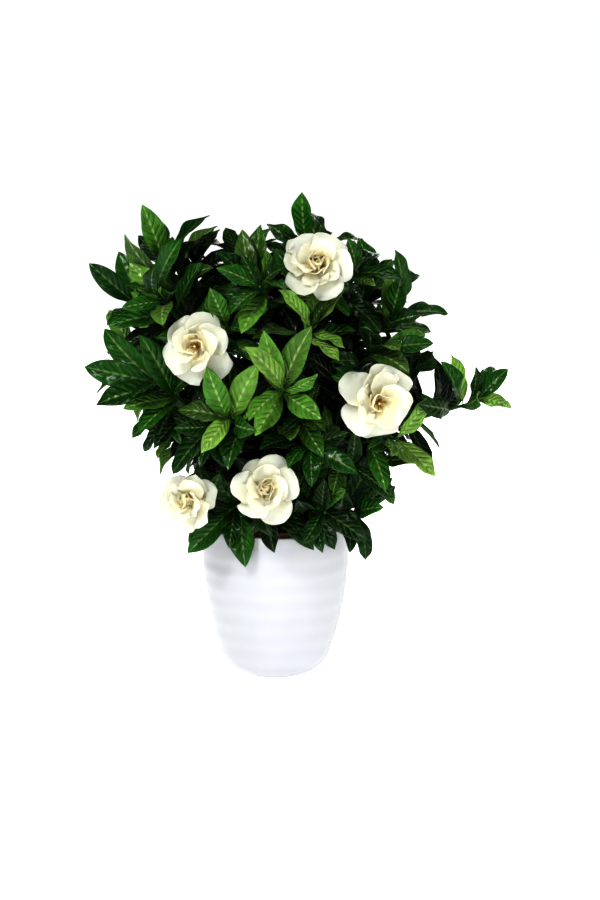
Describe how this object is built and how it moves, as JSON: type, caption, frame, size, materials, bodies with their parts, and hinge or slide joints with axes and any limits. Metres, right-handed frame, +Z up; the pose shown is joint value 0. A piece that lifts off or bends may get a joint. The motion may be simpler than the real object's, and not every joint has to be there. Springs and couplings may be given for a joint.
{
  "type": "potted gardenia",
  "caption": "Bushy gardenia with glossy leaves and double white blooms, in a grow pot that stands in a ribbed white cover pot.",
  "frame": {"origin": "centre of the cover pot's flat base, on the surface it stands on", "axes": "+Z up along the pot's axis, -Y towards the front of the plant, +X to the front's right"},
  "size_m": [0.4638, 0.3788, 0.55],
  "materials": {
    "glazed_cover_pot": "gloss",
    "brown_grow_pot": "satin",
    "potting_soil": "matte",
    "bark": "matte",
    "leaf": "satin",
    "petal": "matte"
  },
  "bodies": {
    "root": {"cover_pot": "glazed_cover_pot", "grow_pot": "brown_grow_pot", "petals_back": "petal", "petals_back_right": "petal", "petals_left": "petal", "petals_low": "petal", "petals_low_left": "petal", "petals_right": "petal", "petals_top": "petal", "shoot_back_centre": "leaf", "shoot_back_foot": "leaf", "shoot_back_high": "leaf", "shoot_back_left": "leaf", "shoot_back_low": "leaf", "shoot_back_mid": "leaf", "shoot_back_right": "leaf", "shoot_back_side": "leaf", "shoot_back_top": "leaf", "shoot_bloom_back": "leaf", "shoot_bloom_back_right": "leaf", "shoot_bloom_left": "leaf", "shoot_bloom_low": "leaf", "shoot_bloom_low_left": "leaf", "shoot_bloom_right": "leaf", "shoot_bloom_top": "leaf", "shoot_bottom_left": "leaf", "shoot_branch": "leaf", "shoot_centre": "leaf", "shoot_centre_dark": "leaf", "shoot_centre_left": "leaf", "shoot_centre_low": "leaf", "shoot_crest": "leaf", "shoot_far_left": "leaf", "shoot_far_right": "leaf", "shoot_left": "leaf", "shoot_left_crown": "leaf", "shoot_low_left": "leaf", "shoot_low_right": "leaf", "shoot_mid_left": "leaf", "shoot_mid_right": "leaf", "shoot_mid_top": "leaf", "shoot_right": "leaf", "shoot_right_bottom": "leaf", "shoot_right_crown": "leaf", "shoot_right_low": "leaf", "shoot_right_top": "leaf", "shoot_rim_front": "leaf", "shoot_rim_left": "leaf", "shoot_rim_right": "leaf", "shoot_side_foot": "leaf", "shoot_side_left": "leaf", "shoot_side_low": "leaf", "shoot_side_right": "leaf", "shoot_top": "leaf", "shoot_top_left": "leaf", "shoot_top_mid": "leaf", "shoot_upper_left": "leaf", "soil": "potting_soil", "trunk_and_limbs": "bark"}
  },
  "joints": []
}
